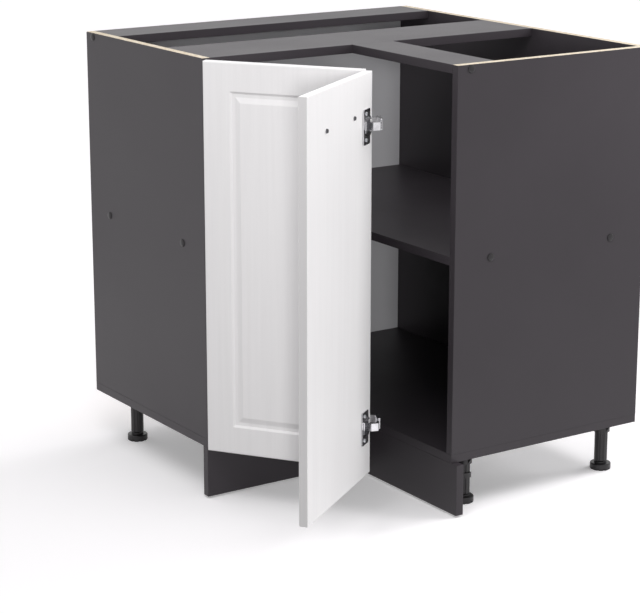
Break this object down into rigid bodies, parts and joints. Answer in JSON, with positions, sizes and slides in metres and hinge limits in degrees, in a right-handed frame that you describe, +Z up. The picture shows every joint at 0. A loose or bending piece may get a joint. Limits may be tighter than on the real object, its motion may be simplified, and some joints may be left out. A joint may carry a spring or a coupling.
{
  "type": "corner kitchen cabinet",
  "caption": "L-shaped corner base cabinet on adjustable legs, with a bent shelf, open top rails, plinth boards and a two-leaf folding corner door.",
  "frame": {"origin": "corner of the room at floor level, where the planes of the two wall faces and the floor meet", "axes": "+Z up, +X normal to the right wing's wall face, +Y normal to the left wing's wall face; the cabinet fills negative X and negative Y"},
  "size_m": [0.8427, 0.8884, 0.82],
  "materials": {
    "anthracite_board": "chipboard coated with anthracite melamine, fine matt grain, raw cream edges on top",
    "grey_back_panel": "thin fibreboard lacquered light grey, matt",
    "beech_dowel": "bare beech",
    "burnished_steel": "dark burnished zinc on steel, half matt",
    "zinc_steel": "bright zinc plating",
    "black_plastic": "moulded black polypropylene, slightly grained",
    "white_foil_front": "fibreboard wrapped in white foil with a fine upright wood grain, satin",
    "brushed_steel": "fine brushed stainless steel",
    "nickel_steel": "pressed steel, nickel plated, satin"
  },
  "bodies": {
    "carcass": {"bottom_panel": "anthracite_board", "left_side": "anthracite_board", "right_side": "anthracite_board", "back_board": "anthracite_board", "back_panel": "grey_back_panel", "shelf": "anthracite_board", "back_rail": "anthracite_board", "middle_rail": "anthracite_board", "front_rail": "anthracite_board", "rail_dowels": "beech_dowel", "left_side_screws": "burnished_steel", "right_side_screws": "burnished_steel", "back_board_screws": "burnished_steel", "bottom_screws": "burnished_steel", "left_plinth": "anthracite_board", "right_plinth": "anthracite_board", "plinth_clips": "black_plastic", "leg_sockets": "black_plastic", "leg_tubes": "black_plastic", "socket_screws": "zinc_steel", "swing_hinge_plates": "nickel_steel", "swing_hinge_arms": "nickel_steel", "swing_plate_screws": "zinc_steel"},
    "left_leaf": {"left_leaf": "white_foil_front", "swing_hinge_cups": "nickel_steel", "swing_cup_screws": "zinc_steel", "fold_hinge_plates": "nickel_steel", "fold_hinge_arms": "nickel_steel", "fold_plate_screws": "zinc_steel"},
    "right_leaf": {"right_leaf": "white_foil_front", "handle": "brushed_steel", "handle_screws": "burnished_steel", "fold_hinge_cups": "nickel_steel", "fold_cup_screws": "zinc_steel"},
    "swing_cranks": {"swing_hinge_cranks": "nickel_steel"},
    "swing_links": {"swing_hinge_links": "nickel_steel"},
    "fold_cranks": {"fold_hinge_cranks": "nickel_steel"},
    "fold_links": {"fold_hinge_links": "nickel_steel"},
    "foot_left_back": {"foot_left_back": "black_plastic"},
    "foot_left_front": {"foot_left_front": "black_plastic"},
    "foot_right_back": {"foot_right_back": "black_plastic"},
    "foot_right_front": {"foot_right_front": "black_plastic"},
    "foot_inner_corner": {"foot_inner_corner": "black_plastic"},
    "foot_room_corner": {"foot_room_corner": "black_plastic"}
  },
  "joints": [
    {"name": "door_swing", "type": "hinge", "parent": "carcass", "child": "left_leaf", "pos_m": [-0.763, -0.4465, 0.46], "axis": [0, 0, -1], "range_deg": [-55, 110]},
    {"name": "swing_crank_turn", "type": "hinge", "parent": "carcass", "child": "swing_cranks", "pos_m": [-0.718, -0.43, 0.46], "axis": [0, 0, -1], "range_deg": [-55, 110]},
    {"name": "swing_link_turn", "type": "hinge", "parent": "swing_cranks", "child": "swing_links", "pos_m": [-0.70444, -0.44675, 0.46], "axis": [0, 0, -1], "range_deg": [-110, 55]},
    {"name": "door_fold", "type": "hinge", "parent": "left_leaf", "child": "right_leaf", "pos_m": [-0.59748, -0.70294, 0.46], "axis": [0, 0, -1], "range_deg": [0, 60]},
    {"name": "fold_crank_turn", "type": "hinge", "parent": "left_leaf", "child": "fold_cranks", "pos_m": [-0.56586, -0.70277, 0.46], "axis": [0, 0, -1], "range_deg": [0, 60]},
    {"name": "fold_link_turn", "type": "hinge", "parent": "fold_cranks", "child": "fold_links", "pos_m": [-0.577, -0.72522, 0.46], "axis": [0, 0, -1], "range_deg": [-60, 0]},
    {"name": "foot_left_back_height", "type": "slide", "parent": "carcass", "child": "foot_left_back", "axis": [0, 0, -1], "range_m": [-0.0018, 0.02]},
    {"name": "foot_left_front_height", "type": "slide", "parent": "carcass", "child": "foot_left_front", "axis": [0, 0, -1], "range_m": [-0.0018, 0.02]},
    {"name": "foot_right_back_height", "type": "slide", "parent": "carcass", "child": "foot_right_back", "axis": [0, 0, -1], "range_m": [-0.0018, 0.02]},
    {"name": "foot_right_front_height", "type": "slide", "parent": "carcass", "child": "foot_right_front", "axis": [0, 0, -1], "range_m": [-0.0018, 0.02]},
    {"name": "foot_inner_corner_height", "type": "slide", "parent": "carcass", "child": "foot_inner_corner", "axis": [0, 0, -1], "range_m": [-0.0018, 0.02]},
    {"name": "foot_room_corner_height", "type": "slide", "parent": "carcass", "child": "foot_room_corner", "axis": [0, 0, -1], "range_m": [-0.0018, 0.02]}
  ],
  "couplings": [
    {"joint": "swing_crank_turn", "follows": "door_swing", "ratio": 1},
    {"joint": "swing_link_turn", "follows": "door_swing", "ratio": -1},
    {"joint": "fold_crank_turn", "follows": "door_fold", "ratio": 1},
    {"joint": "fold_link_turn", "follows": "door_fold", "ratio": -1}
  ]
}
